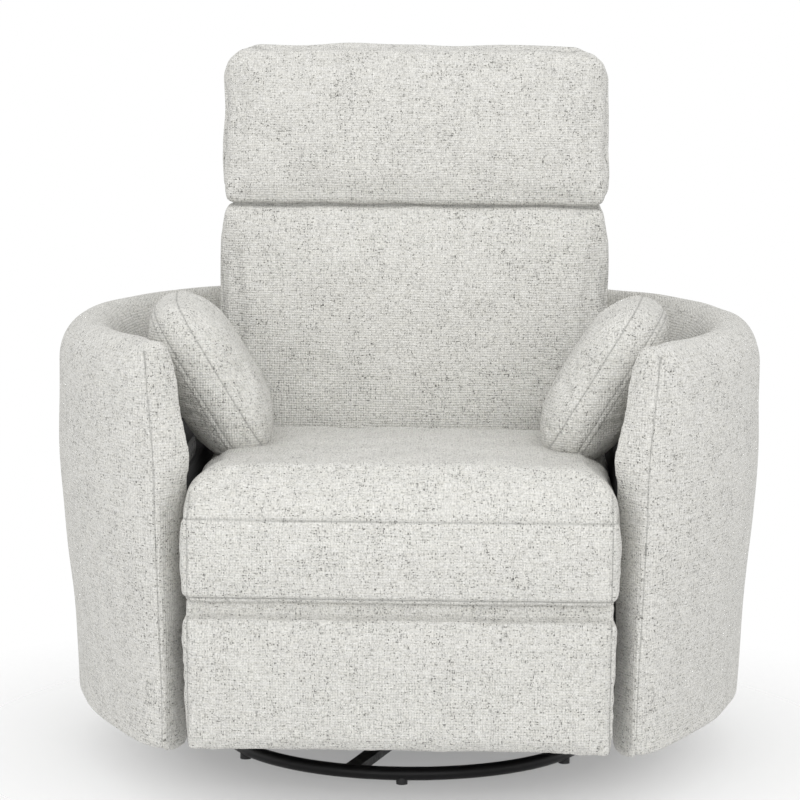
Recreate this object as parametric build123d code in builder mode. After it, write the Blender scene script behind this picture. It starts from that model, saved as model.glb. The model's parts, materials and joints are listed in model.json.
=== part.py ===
"""Swivel glider recliner for a nursery, as an assembly of separate pieces.

Millimetres. +Z is up, the chair faces -Y, and the origin is on the floor under
the middle of the chair. The base ring stands on the floor. A turntable turns on it,
and a carriage with the seat, arms and back hangs from the turntable on four links.
"""
from build123d import *
from math import atan2, cos, degrees, radians, sin
import os

os.makedirs("parts", exist_ok=True)

# ---------------------------------------------------------------- driving sizes
HALF_WIDTH = 502            # widest point of the arms
TOP = 1012                  # top of the headrest
FRONT = -466                # front of the footrest pad and of the seat
REAR = 468                  # back of the rear panel
REAR_PANEL_TOP = 280        # low enough for the back to swing over it
RIM = 630                   # top of the arms
ARM_BOTTOM = 77
PANEL_BOTTOM = 88
PANEL_TOP = 270
SEAT_BAND_BOTTOM = 289
SEAT_TOP = 462
SEAT_HALF = 282
BACK_HALF = 284
CREASE = 774                # height of the fold between back and headrest

RING_RADIUS = 263           # centreline of the base ring
RING_TUBE = 9.5
GLIDE_PAD = 5               # height of the feet under the ring
SPOKE_ANGLE = -106          # the foremost spoke, from +X
PLATE = 4                   # steel plate
PIN = 5                     # radius of the pivot pins
RUNNING = 0.08              # radial clearance of a pin in its hole

# ------------------------------------------------------- glide: four swing links
LINK_LENGTH = 100
LINK_TOP = 215              # height of the upper pivots
LINK_Y = 120                # fore-and-aft place of the pivots, each way
TOWER_X = 175
LINK_X = 183
RAIL_X = 191
SIDE_PLATE_X = 205

# ------------------------------------- footrest: crank, long link, control link
CRANK_X = 212
LONG_LINK_X = 219
CONTROL_X = 226
CRANK_PIVOT = (-235, 230)   # (Y, Z) of the crank on the side plate
CRANK_LENGTH = 170
CRANK_REST = 140            # degrees below straight ahead
PANEL_PIVOT = (-400, 205)   # (Y, Z) of the footrest on the long link
CONTROL_STEP = 90           # from the crank's pivot to the control link's

BACK_PIVOT = (205, 285)     # (Y, Z) of the back on the side plates
HEAD_PIVOT = (185, CREASE)  # (Y, Z) of the headrest on the back
HEAD_HINGE_X = 150


def save(part, name):
    """Label one finished piece and write it as its own file."""
    part.label = name
    export_step(part, f"parts/{name}.step")


def along(start, angle, length):
    """The (Y, Z) point at a length from start; 0 is straight ahead, positive is up."""
    return (start[0] - length * cos(radians(angle)), start[1] + length * sin(radians(angle)))


def side_plane(x):
    """Plane across the chair at x: its local x is +Y and its local y is +Z."""
    return Plane(origin=(x, 0, 0), x_dir=(0, 1, 0), z_dir=(1, 0, 0))


def side_profile(points, x_low, x_high):
    """A solid with this outline of (Y, Z) points, from x_low to x_high."""
    with BuildPart(mode=Mode.PRIVATE) as profile:
        with BuildSketch(side_plane(x_low)):
            with BuildLine():
                Polyline(*points, close=True)
            make_face()
        extrude(amount=x_high - x_low)
    return profile.part


def side_pin(point, x_low, x_high, radius):
    """A round pin across the chair, from x_low to x_high."""
    with BuildPart(mode=Mode.PRIVATE) as pin:
        with BuildSketch(side_plane(x_low)):
            with Locations(point):
                Circle(radius)
        extrude(amount=x_high - x_low)
    return pin.part


def flat_link(start, end, x_low, width, holes, hole_radius):
    """A round-ended flat bar from start to end with holes at the given points."""
    length = ((end[0] - start[0]) ** 2 + (end[1] - start[1]) ** 2) ** 0.5
    turn = degrees(atan2(end[1] - start[1], end[0] - start[0]))
    middle = ((start[0] + end[0]) / 2, (start[1] + end[1]) / 2)
    with BuildPart(mode=Mode.PRIVATE) as link:
        with BuildSketch(side_plane(x_low)):
            with Locations(Location((*middle, 0), (0, 0, turn))):
                SlotCenterToCenter(length, width)
            with Locations(*holes):
                Circle(hole_radius, mode=Mode.SUBTRACT)
        extrude(amount=PLATE)
    return link.part


def both_sides(name, *pieces):
    """Save pieces of the +X side and their mirror images as one node."""
    with BuildPart() as pair:
        for piece in pieces:
            add(piece)
        mirror(about=Plane.YZ)
    save(pair.part, name)


def on_side(name, side, *pieces):
    """Save pieces drawn for +X on that side, or mirrored to -X."""
    with BuildPart() as single:
        for piece in pieces:
            add(piece if side > 0 else mirror(piece, about=Plane.YZ, mode=Mode.PRIVATE))
    save(single.part, name)


# ================================================================ base, on the floor
ring_height = GLIDE_PAD + RING_TUBE

with BuildPart() as base_ring:
    Torus(RING_RADIUS, RING_TUBE)
base_ring.part = base_ring.part.moved(Location((0, 0, ring_height)))
save(base_ring.part, "base_ring")

FOOT_RADIUS = 8
with BuildPart() as floor_glides:
    with BuildSketch(Plane.XY):
        with PolarLocations(RING_RADIUS, 6, start_angle=-90):
            Circle(FOOT_RADIUS)
    extrude(amount=ring_height)
    with Locations((0, 0, ring_height)):
        Torus(RING_RADIUS, RING_TUBE + 0.02, mode=Mode.SUBTRACT)
save(floor_glides.part, "floor_glides")

SPOKE_WIDTH = 22
SPOKE_HEIGHT = 12
SPOKE_INNER = 15
spoke_outer = RING_RADIUS - RING_TUBE / 2
with BuildPart() as base_spokes:
    with BuildSketch(Plane.XY.offset(ring_height - SPOKE_HEIGHT / 2)):
        with PolarLocations((SPOKE_INNER + spoke_outer) / 2, 4, start_angle=SPOKE_ANGLE):
            Rectangle(spoke_outer - SPOKE_INNER, SPOKE_WIDTH)
    extrude(amount=SPOKE_HEIGHT)
    with Locations((0, 0, ring_height)):
        Torus(RING_RADIUS, RING_TUBE + 0.02, mode=Mode.SUBTRACT)
save(base_spokes.part, "base_spokes")

KINGPIN = 12
KINGPIN_TOP = 46
HUB_HALF = 88
hub_bottom = ring_height + SPOKE_HEIGHT / 2
race_bottom = hub_bottom + PLATE
turn_bottom = race_bottom + 6
with BuildPart() as swivel_lower_plate:
    with BuildSketch(Plane.XY.offset(hub_bottom)):
        with Locations(Location((0, 0, 0), (0, 0, SPOKE_ANGLE))):
            RectangleRounded(2 * HUB_HALF, 2 * HUB_HALF, 12)
        Circle(KINGPIN, mode=Mode.SUBTRACT)
    extrude(amount=PLATE)
save(swivel_lower_plate.part, "swivel_lower_plate")

with BuildPart() as swivel_race:
    with BuildSketch(Plane.XY.offset(race_bottom)):
        Circle(78)
        Circle(62, mode=Mode.SUBTRACT)
    extrude(amount=3)
    with BuildSketch(Plane.XY.offset(race_bottom + 3)):
        with PolarLocations(70, 24):
            Circle(1.6)
    extrude(amount=2.6)
save(swivel_race.part, "swivel_race")

NUT_BOTTOM = turn_bottom + PLATE + 1
with BuildPart() as swivel_kingpin:
    with BuildSketch(Plane.XY.offset(hub_bottom)):
        Circle(KINGPIN)
    extrude(amount=KINGPIN_TOP - hub_bottom)
    with BuildSketch(Plane.XY.offset(hub_bottom - 3)):
        Circle(SPOKE_INNER - 2)
    extrude(amount=3)
save(swivel_kingpin.part, "swivel_kingpin")

with BuildPart() as hub_fasteners:
    with BuildSketch(Plane.XY.offset(NUT_BOTTOM)):
        RegularPolygon(20, 6)
        Circle(KINGPIN, mode=Mode.SUBTRACT)
    extrude(amount=7)
    with BuildSketch(Plane.XY.offset(race_bottom)):
        with PolarLocations(84, 4, start_angle=SPOKE_ANGLE):
            RegularPolygon(4, 6)
    extrude(amount=3)
save(hub_fasteners.part, "hub_fasteners")

# ========================================================== turntable, on the kingpin
PLATFORM_HALF_Y = 135
TUBE = 25
with BuildPart() as swivel_upper_plate:
    with BuildSketch(Plane.XY.offset(turn_bottom)):
        RectangleRounded(2 * HUB_HALF, 2 * PLATFORM_HALF_Y, 10)
        Circle(KINGPIN + RUNNING, mode=Mode.SUBTRACT)
    extrude(amount=PLATE)
save(swivel_upper_plate.part, "swivel_upper_plate")

tube_bottom = turn_bottom + PLATE
with BuildPart() as platform_tubes:
    with BuildSketch(side_plane(-TOWER_X)):
        with Locations((-LINK_Y, tube_bottom + TUBE / 2), (LINK_Y, tube_bottom + TUBE / 2)):
            Rectangle(TUBE, TUBE)
            Rectangle(TUBE - 4, TUBE - 4, mode=Mode.SUBTRACT)
    extrude(amount=2 * TOWER_X)
save(platform_tubes.part, "platform_tubes")

TOWER_WIDTH = 40
tower_pieces = []
upper_pins = []
for tower_y in (-LINK_Y, LINK_Y):
    outline = [
        (tower_y - TOWER_WIDTH / 2, tube_bottom),
        (tower_y + TOWER_WIDTH / 2, tube_bottom),
        (tower_y + TOWER_WIDTH / 3, LINK_TOP + 18),
        (tower_y - TOWER_WIDTH / 3, LINK_TOP + 18),
    ]
    tower_pieces.append(side_profile(outline, TOWER_X, TOWER_X + PLATE))
    upper_pins.append(side_pin((tower_y, LINK_TOP), TOWER_X + PLATE, LINK_X + PLATE + 2, PIN))
both_sides("link_towers", *tower_pieces)
both_sides("link_upper_pins", *upper_pins)

# ============================================================ glide links and bushes
LINK_WIDTH = 26
BUSH_RADIUS = 8
link_bottom = LINK_TOP - LINK_LENGTH
for place, link_y in (("front", -LINK_Y), ("rear", LINK_Y)):
    upper = (link_y, LINK_TOP)
    lower = (link_y, link_bottom)
    both_sides(
        f"{place}_glide_links",
        flat_link(upper, lower, LINK_X, LINK_WIDTH, [upper, lower], BUSH_RADIUS),
    )
    bushes = []
    for centre in (upper, lower):
        with BuildPart(mode=Mode.PRIVATE) as bush:
            with BuildSketch(side_plane(LINK_X)):
                with Locations(centre):
                    Circle(BUSH_RADIUS)
                    Circle(PIN + RUNNING, mode=Mode.SUBTRACT)
            extrude(amount=PLATE)
        bushes.append(bush.part)
    both_sides(f"{place}_link_bushes", *bushes)

# ====================================================== carriage, hung from the links
RAIL_HALF = 190
rail = side_profile(
    [
        (-RAIL_HALF, link_bottom - 18),
        (RAIL_HALF, link_bottom - 18),
        (RAIL_HALF, link_bottom + 18),
        (-RAIL_HALF, link_bottom + 18),
    ],
    RAIL_X,
    SIDE_PLATE_X,
)
both_sides("glide_rails", rail)
lower_pins = [
    side_pin((pin_y, link_bottom), LINK_X - 2, RAIL_X, PIN) for pin_y in (-LINK_Y, LINK_Y)
]

SEAT_FRAME_BOTTOM = 300
SHAFT = 10
link_tilt = degrees(
    atan2(
        PANEL_PIVOT[1] - along(CRANK_PIVOT, -CRANK_REST, CRANK_LENGTH)[1],
        along(CRANK_PIVOT, -CRANK_REST, CRANK_LENGTH)[0] - PANEL_PIVOT[0],
    )
)
control_pivot = along(CRANK_PIVOT, link_tilt, CONTROL_STEP)
plate_outline = [
    (-340, 235),
    (-200, link_bottom - 18),
    (200, link_bottom - 18),
    (232, 250),
    (232, SEAT_FRAME_BOTTOM),
    (-340, SEAT_FRAME_BOTTOM),
]
with BuildPart() as side_plate:
    add(side_profile(plate_outline, SIDE_PLATE_X, SIDE_PLATE_X + PLATE))
    add(side_pin(CRANK_PIVOT, SIDE_PLATE_X, CRANK_X, SHAFT + 0.3), mode=Mode.SUBTRACT)
    add(side_pin(BACK_PIVOT, SIDE_PLATE_X, CRANK_X, SHAFT + 0.3), mode=Mode.SUBTRACT)
    with BuildSketch(side_plane(SIDE_PLATE_X)):
        with Locations((-60, 200), (60, 200)):
            SlotOverall(90, 50)
    extrude(amount=PLATE, mode=Mode.SUBTRACT)
both_sides("mechanism_side_plates", side_plate.part)
control_pin = side_pin(control_pivot, SIDE_PLATE_X + PLATE, CONTROL_X + PLATE + 2, PIN)
both_sides("carriage_pins", control_pin, *lower_pins)

CROSS_TUBE = 20
CROSS_TUBE_Y = (-285, BACK_PIVOT[0])
CROSS_TUBE_Z = 215
with BuildPart() as carriage_cross_tubes:
    with BuildSketch(side_plane(-SIDE_PLATE_X)):
        with Locations(*[(tube_y, CROSS_TUBE_Z) for tube_y in CROSS_TUBE_Y]):
            Rectangle(CROSS_TUBE, CROSS_TUBE)
            Rectangle(CROSS_TUBE - 3, CROSS_TUBE - 3, mode=Mode.SUBTRACT)
    extrude(amount=2 * SIDE_PLATE_X)
save(carriage_cross_tubes.part, "carriage_cross_tubes")

with BuildPart() as footrest_motor:
    add(side_profile([(-275, 205), (-207, 205), (-207, 262), (-275, 262)], -55, 55))
    add(side_profile([(-275, 212), (-222, 212), (-222, 255), (-275, 255)], 55, 120))
    add(side_pin(CRANK_PIVOT, -60, 125, SHAFT + 0.3), mode=Mode.SUBTRACT)
save(footrest_motor.part, "footrest_motor")

with BuildPart() as recline_motor:
    add(side_profile([(176, 225), (234, 225), (234, 318), (176, 318)], -50, 50))
    add(side_profile([(182, 225), (228, 225), (228, 262), (182, 262)], -115, -50))
    add(side_pin(BACK_PIVOT, -120, 60, SHAFT + 0.3), mode=Mode.SUBTRACT)
save(recline_motor.part, "recline_motor")

with BuildPart() as power_box:
    add(side_profile([(215, 180), (300, 180), (300, 222), (215, 222)], -70, 70))
    fillet(power_box.edges().filter_by(Axis.Z), 6)
save(power_box.part, "power_box")

# seat frame, springs and cushion
SIDE_RAIL_X = (200, 288)
SEAT_FRAME_TOP = 342
SEAT_FRAME_Y = (-415, 60)
RAIL_DEPTH = 40
side_rail = side_profile(
    [
        (SEAT_FRAME_Y[0], SEAT_FRAME_BOTTOM),
        (SEAT_FRAME_Y[1], SEAT_FRAME_BOTTOM),
        (SEAT_FRAME_Y[1], SEAT_FRAME_TOP),
        (SEAT_FRAME_Y[0], SEAT_FRAME_TOP),
    ],
    *SIDE_RAIL_X,
)
# the rail's outer front corner is cut away beside the arm's front
CORNER_CUT = (40, 8)        # along Y and along X
corner = side_profile(
    [
        (SEAT_FRAME_Y[0] - 1, SEAT_FRAME_BOTTOM - 1),
        (SEAT_FRAME_Y[0] + CORNER_CUT[0], SEAT_FRAME_BOTTOM - 1),
        (SEAT_FRAME_Y[0] + CORNER_CUT[0], SEAT_FRAME_TOP + 1),
        (SEAT_FRAME_Y[0] - 1, SEAT_FRAME_TOP + 1),
    ],
    SIDE_RAIL_X[1] - CORNER_CUT[1],
    SIDE_RAIL_X[1] + 1,
)
with BuildPart() as notched_rail:
    add(side_rail)
    add(corner, mode=Mode.SUBTRACT)
cross_rails = []
for rail_y in (SEAT_FRAME_Y[0], SEAT_FRAME_Y[1] - RAIL_DEPTH):
    cross_rails.append(
        side_profile(
            [
                (rail_y, SEAT_FRAME_BOTTOM),
                (rail_y + RAIL_DEPTH, SEAT_FRAME_BOTTOM),
                (rail_y + RAIL_DEPTH, SEAT_FRAME_TOP - 2),
                (rail_y, SEAT_FRAME_TOP - 2),
            ],
            -SIDE_RAIL_X[0],
            SIDE_RAIL_X[0],
        )
    )
with BuildPart() as seat_side_rails:
    add(notched_rail.part)
    mirror(about=Plane.YZ)
save(Compound(children=[*seat_side_rails.part.solids(), *cross_rails]), "seat_frame")

SPRING_WIRE = 1.9
SPRING_SWING = 22
SPRING_STEP = 26
spring_start = SEAT_FRAME_Y[0] + RAIL_DEPTH - 8
with BuildPart() as seat_springs:
    for spring_x in range(-150, 151, 75):
        path = [(spring_x, spring_start)]
        for turn in range(15):
            swing = SPRING_SWING if turn % 2 else -SPRING_SWING
            path.append((spring_x + swing, spring_start + 14 + turn * SPRING_STEP))
        path.append((spring_x, spring_start + 14 + 15 * SPRING_STEP))
        with BuildLine(Plane.XY.offset(SEAT_FRAME_TOP - 2 + SPRING_WIRE)) as wire:
            FilletPolyline(*path, radius=6)
        with BuildSketch(Plane(origin=wire.line @ 0, z_dir=wire.line % 0)):
            Circle(SPRING_WIRE)
        sweep(path=wire.line)
save(seat_springs.part, "seat_springs")

cushion_outline = [
    (FRONT, SEAT_BAND_BOTTOM),
    (FRONT, SEAT_TOP - 26),
    (FRONT + 12, SEAT_TOP - 8),
    (FRONT + 30, SEAT_TOP),
    (70, SEAT_TOP - 10),
    (84, SEAT_TOP - 22),
    (84, 346),
    (-420, 346),
    (-420, SEAT_BAND_BOTTOM),
]
with BuildPart() as seat_cushion:
    add(side_profile(cushion_outline, -SEAT_HALF, SEAT_HALF))
    with BuildSketch(Plane.XZ.offset(-FRONT + 1)):
        with BuildLine():
            Polyline(
                (SEAT_HALF - 92, SEAT_TOP),
                (SEAT_HALF + 1, SEAT_TOP - 38),
                (SEAT_HALF + 1, SEAT_TOP + 1),
                close=True,
            )
        make_face()
        mirror(about=Plane.YZ)
    extrude(amount=-600, mode=Mode.SUBTRACT)
save(seat_cushion.part, "seat_cushion")

# ---------------------------------------------------------------- wrap-around arms
# Half plans of one arm, from the inner front corner round the outside to the tip
# behind the back, then the same way back along the inside.
OUTER_LOW = [
    (318, -421), (352, -384), (390, -317), (424, -242), (458, -148), (482, -20),
    (480, 100), (458, 196), (418, 284), (366, 352), (302, 418),
]
OUTER_HIGH = [
    (322, -432), (366, -396), (420, -332), (464, -240), (492, -130), (HALF_WIDTH, 0),
    (496, 110), (474, 206), (434, 296), (378, 372), (302, 446),
]
WALL = 52
REAR_TIP_WALL = 60
INNER_PANEL = [(-374, 100), (380, 100), (380, 438), (-266, 438), (-266, 490), (-374, 490)]


def inner_side(outer):
    """The inside of the wall: each point moved in by the wall's thickness."""
    inner = [(288, outer[0][1] + 26)]
    for before, here, after in zip(outer, outer[1:], outer[2:]):
        step_x = after[0] - before[0]
        step_y = after[1] - before[1]
        length = (step_x**2 + step_y**2) ** 0.5
        inner.append((here[0] - step_y / length * WALL, here[1] + step_x / length * WALL))
    inner = [point for point in inner[:1] + inner[2:] if point[0] > 300 or point[1] < -350]
    inner.append((302, outer[-1][1] - REAR_TIP_WALL))
    return inner


def arm_plan(outer):
    """The closed plan of one arm wall."""
    inner = inner_side(outer)
    with BuildLine() as plan:
        Spline(*outer)
        Line(outer[-1], inner[-1])
        Spline(*inner)
        Line(inner[0], outer[0])
    return plan.line


for side, side_name in ((1, "right"), (-1, "left")):
    with BuildPart(mode=Mode.PRIVATE) as wing:
        with BuildSketch(Plane.XY.offset(ARM_BOTTOM)):
            add(arm_plan(OUTER_LOW))
            make_face()
        with BuildSketch(Plane.XY.offset(RIM - 90)):
            add(arm_plan(OUTER_HIGH))
            make_face()
        loft(ruled=True)
        with BuildSketch(Plane.XY.offset(RIM - 90)):
            add(arm_plan(OUTER_HIGH))
            make_face()
        extrude(amount=90)
    on_side(f"arm_wing_{side_name}", side, wing.part)

    with BuildPart(mode=Mode.PRIVATE) as inner_panel:
        add(side_profile(INNER_PANEL, 289, 299))
    on_side(f"arm_inner_panel_{side_name}", side, inner_panel.part)

    with BuildPart(mode=Mode.PRIVATE) as deck:
        with BuildSketch(Plane.XY.offset(415)):
            with BuildLine():
                Polyline(
                    (300, -330), (330, -318), (390, -215), (420, -100), (430, 0),
                    (420, 100), (390, 190), (350, 265), (300, 320), close=True,
                )
            make_face()
        extrude(amount=25)
    on_side(f"arm_deck_{side_name}", side, deck.part)

# arm pillows: boxed bolsters that lean outward
PILLOW_LENGTH = 290
PILLOW_THICK = 104
PILLOW_HIGH = 232
PILLOW_CENTRE = (276, 553)  # (X, Z)
PILLOW_LEAN = 25            # degrees from upright
for side, side_name in ((1, "right"), (-1, "left")):
    lean = Plane(
        origin=(side * PILLOW_CENTRE[0], -262, PILLOW_CENTRE[1]),
        x_dir=(cos(radians(PILLOW_LEAN)), 0, -side * sin(radians(PILLOW_LEAN))),
        z_dir=(0, 1, 0),
    )
    with BuildPart() as arm_pillow:
        with BuildSketch(lean):
            SlotOverall(PILLOW_HIGH, PILLOW_THICK, rotation=90)
        extrude(amount=PILLOW_LENGTH)
    save(arm_pillow.part, f"arm_pillow_{side_name}")

# rear panel between the tips of the arms
REAR_PANEL_HALF = 298
REAR_PANEL_FACE = REAR - 16
with BuildPart() as rear_panel:
    add(
        side_profile(
            [
                (REAR_PANEL_FACE, PANEL_BOTTOM),
                (REAR, PANEL_BOTTOM),
                (REAR, REAR_PANEL_TOP),
                (REAR_PANEL_FACE, REAR_PANEL_TOP),
            ],
            -REAR_PANEL_HALF,
            REAR_PANEL_HALF,
        )
    )
save(rear_panel.part, "rear_panel")

# each bracket drops from the rear cross tube and runs back to the panel
BRACKET_X = (150, 156)
bracket_rear = REAR_PANEL_FACE - 0.1
tube_rear = BACK_PIVOT[0] + CROSS_TUBE / 2
tube_underside = CROSS_TUBE_Z - CROSS_TUBE / 2
post_bottom = 110
bracket = side_profile(
    [
        (tube_rear, post_bottom),
        (bracket_rear, post_bottom),
        (bracket_rear, post_bottom + 40),
        (300, post_bottom + 40),
        (250, post_bottom + 70),
        (tube_rear, post_bottom + 70),
    ],
    *BRACKET_X,
)
post = side_profile(
    [
        (tube_rear - CROSS_TUBE + 1, post_bottom),
        (tube_rear, post_bottom),
        (tube_rear, tube_underside - 0.1),
        (tube_rear - CROSS_TUBE + 1, tube_underside - 0.1),
    ],
    *BRACKET_X,
)
with BuildPart() as rear_bracket:
    add(bracket)
    add(post)
both_sides("rear_panel_brackets", rear_bracket.part)

# controls on the inside of the left arm
BUTTON_Y = (-357, -333, -309, -285)
BUTTON_Z = 474
BUTTON_RADIUS = 7
BEZEL_X = -289
with BuildPart() as control_bezel:
    with BuildSketch(side_plane(BEZEL_X)):
        with Locations((sum(BUTTON_Y) / len(BUTTON_Y), BUTTON_Z)):
            SlotOverall(102, 24)
        with Locations(*[(y, BUTTON_Z) for y in BUTTON_Y]):
            Circle(BUTTON_RADIUS + 0.4, mode=Mode.SUBTRACT)
    extrude(amount=3)
save(control_bezel.part, "control_bezel")
BUTTON_NAMES = ("recline_back", "recline_forward", "headrest_out", "headrest_in")
for button_name, button_y in zip(BUTTON_NAMES, BUTTON_Y):
    with BuildPart() as button:
        with BuildSketch(side_plane(BEZEL_X + 1.6)):
            with Locations((button_y, BUTTON_Z)):
                Circle(BUTTON_RADIUS)
        extrude(amount=3)
        fillet(button.edges().sort_by(Axis.X)[-1], 0.8)
    save(button.part, f"button_{button_name}")

# ================================================================= footrest linkage
crank_end = along(CRANK_PIVOT, -CRANK_REST, CRANK_LENGTH)
control_end = (
    crank_end[0] + control_pivot[0] - CRANK_PIVOT[0],
    crank_end[1] + control_pivot[1] - CRANK_PIVOT[1],
)
BAR = 20
both_sides(
    "footrest_cranks",
    flat_link(CRANK_PIVOT, crank_end, CRANK_X, BAR + 6, [CRANK_PIVOT], SHAFT),
    side_pin(crank_end, CRANK_X + PLATE, LONG_LINK_X + PLATE + 1, PIN),
)
with BuildPart() as crank_shaft:
    add(side_pin(CRANK_PIVOT, -CRANK_X - PLATE, CRANK_X + PLATE, SHAFT))
save(crank_shaft.part, "footrest_shaft")
both_sides(
    "footrest_long_links",
    flat_link(crank_end, PANEL_PIVOT, LONG_LINK_X, BAR, [crank_end], PIN + RUNNING),
    side_pin(control_end, LONG_LINK_X + PLATE, CONTROL_X + PLATE + 2, PIN),
    side_pin(PANEL_PIVOT, LONG_LINK_X + PLATE, CONTROL_X + PLATE + 2, PIN),
)
OPEN_CLEARANCE = 0.5
with BuildPart() as control_link:
    add(
        flat_link(
            control_pivot, control_end, CONTROL_X, BAR, [control_pivot], PIN + RUNNING
        )
    )
    add(
        side_pin(control_end, CONTROL_X, CONTROL_X + PLATE, PIN + OPEN_CLEARANCE),
        mode=Mode.SUBTRACT,
    )
both_sides("footrest_control_links", control_link.part)

BOARD_FACE = -430
BOARD_BACK = -418
BOARD_INSET = 10            # from the pad's edges to the board's
bracket_rear = PANEL_PIVOT[0] + 11
bracket_outline = [
    (BOARD_BACK, 130),
    (BOARD_BACK, 262),
    (PANEL_PIVOT[0] - 7, 262),
    (bracket_rear, PANEL_PIVOT[1] + 7),
    (bracket_rear, PANEL_PIVOT[1] - 9),
    (PANEL_PIVOT[0] - 7, 130),
]
with BuildPart() as panel_bracket:
    add(side_profile(bracket_outline, CONTROL_X, CONTROL_X + PLATE))
    add(
        side_pin(PANEL_PIVOT, CONTROL_X, CONTROL_X + PLATE, PIN + RUNNING),
        mode=Mode.SUBTRACT,
    )
both_sides("footrest_brackets", panel_bracket.part)
board_outline = [
    (BOARD_FACE, PANEL_BOTTOM + BOARD_INSET),
    (BOARD_BACK, PANEL_BOTTOM + BOARD_INSET),
    (BOARD_BACK, PANEL_TOP - BOARD_INSET + 2),
    (BOARD_FACE, PANEL_TOP - BOARD_INSET + 2),
]
with BuildPart() as footrest_board:
    add(side_profile(board_outline, -SEAT_HALF + BOARD_INSET, SEAT_HALF - BOARD_INSET))
save(footrest_board.part, "footrest_board")
PAD_BEVEL = 12
pad_back = BOARD_FACE - 0.2
pad_outline = [
    (FRONT + PAD_BEVEL, PANEL_BOTTOM),
    (FRONT, PANEL_BOTTOM + PAD_BEVEL),
    (FRONT, PANEL_TOP - PAD_BEVEL),
    (FRONT + PAD_BEVEL, PANEL_TOP),
    (pad_back, PANEL_TOP),
    (pad_back, PANEL_BOTTOM),
]
with BuildPart() as footrest_pad:
    add(side_profile(pad_outline, -SEAT_HALF, SEAT_HALF))
save(footrest_pad.part, "footrest_pad")

# ============================================================================= back
with BuildPart() as recline_shaft:
    add(side_pin(BACK_PIVOT, -CRANK_X - PLATE, CRANK_X + PLATE, SHAFT))
save(recline_shaft.part, "recline_shaft")
with BuildPart() as back_bracket:
    add(
        side_profile(
            [(190, 272), (222, 272), (310, 338), (318, 470), (302, 470), (288, 354), (268, 338), (190, 300)],
            CRANK_X,
            CRANK_X + PLATE,
        )
    )
    add(side_pin(BACK_PIVOT, CRANK_X, CRANK_X + PLATE, SHAFT), mode=Mode.SUBTRACT)
both_sides("back_brackets", back_bracket.part)

FRAME_LOW = 352
FRAME_HIGH = 762
FRAME_FACE = 278            # Y of the uprights' front at their lower end
FRAME_DEPTH = 28
FRAME_LEAN = 30             # how much further back the upper end is
UPRIGHT_WIDTH = 34
upright_outline = [
    (FRAME_FACE, FRAME_LOW),
    (FRAME_FACE + FRAME_DEPTH, FRAME_LOW),
    (FRAME_FACE + FRAME_DEPTH + FRAME_LEAN, FRAME_HIGH),
    (FRAME_FACE + FRAME_LEAN, FRAME_HIGH),
]
upright = side_profile(upright_outline, CRANK_X + PLATE, CRANK_X + PLATE + UPRIGHT_WIDTH)
with BuildPart() as back_uprights:
    add(upright)
    mirror(about=Plane.YZ)
with BuildPart() as back_frame_rails:
    for low in (374, 715):
        shift = (low - FRAME_LOW) * FRAME_LEAN / (FRAME_HIGH - FRAME_LOW)
        add(
            side_profile(
                [
                    (FRAME_FACE + 2 + shift, low),
                    (FRAME_FACE + FRAME_DEPTH - 2 + shift, low),
                    (FRAME_FACE + FRAME_DEPTH + 1 + shift, low + RAIL_DEPTH),
                    (FRAME_FACE + 5 + shift, low + RAIL_DEPTH),
                ],
                -CRANK_X,
                CRANK_X,
            )
        )
back_frame = [*back_uprights.part.solids(), *back_frame_rails.part.solids()]
save(Compound(children=back_frame), "back_frame")

HEAD_SLOT = [(165, 700), (300, 700), (330, 860), (165, 860)]
MOTOR_POCKET = [(168, 695), (244, 695), (244, 806), (168, 806)]


def head_slots():
    """The room in both cushions for the headrest's hinge plates and motor."""
    with BuildPart(mode=Mode.PRIVATE) as room:
        slot = side_profile(HEAD_SLOT, HEAD_HINGE_X - 3, HEAD_HINGE_X + 13)
        add(slot)
        mirror(about=Plane.YZ)
        add(side_profile(MOTOR_POCKET, -48, 48))
    return room.part


back_outline = [
    (100, 346),
    (90, 372),
    (100, 470),
    (136, 738),
    (150, 760),
    (178, 768),
    (306, 768),
    (275, 346),
]
with BuildPart() as back_cushion:
    add(side_profile(back_outline, -BACK_HALF, BACK_HALF))
    add(head_slots(), mode=Mode.SUBTRACT)
save(back_cushion.part, "back_cushion")

with BuildPart() as back_outside:
    add(
        side_profile(
            [(314, 340), (376, 340), (398, 420), (430, 580), (422, 660), (402, 740), (384, 768), (340, 768)],
            -BACK_HALF,
            BACK_HALF,
        )
    )
save(back_outside.part, "back_outside_pad")

# headrest
lower_hinge = side_profile(
    [(178, 762), (192, 762), (306, 712), (306, 740), (196, 780), (176, 780)],
    HEAD_HINGE_X,
    HEAD_HINGE_X + PLATE,
)
with BuildPart() as head_lower_hinge:
    add(lower_hinge)
    add(side_pin(HEAD_PIVOT, HEAD_HINGE_X, HEAD_HINGE_X + PLATE, PIN + RUNNING), mode=Mode.SUBTRACT)
both_sides("headrest_lower_hinges", head_lower_hinge.part)
with BuildPart() as head_upper_hinge:
    add(
        side_profile(
            [(176, 766), (194, 766), (316, 820), (316, 850), (190, 790), (176, 784)],
            HEAD_HINGE_X + PLATE + 1,
            HEAD_HINGE_X + 2 * PLATE + 1,
        )
    )
    add(
        side_pin(HEAD_PIVOT, HEAD_HINGE_X, HEAD_HINGE_X + 10, PIN),
        mode=Mode.SUBTRACT,
    )
both_sides("headrest_upper_hinges", head_upper_hinge.part)
with BuildPart() as headrest_shaft:
    add(side_pin(HEAD_PIVOT, -HEAD_HINGE_X - 9, HEAD_HINGE_X + 9, PIN))
save(headrest_shaft.part, "headrest_shaft")
with BuildPart() as headrest_motor:
    add(side_profile([(172, 700), (232, 700), (232, 784), (172, 784)], -42, 42))
    add(side_pin(HEAD_PIVOT, -50, 50, PIN + 0.3), mode=Mode.SUBTRACT)
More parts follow.
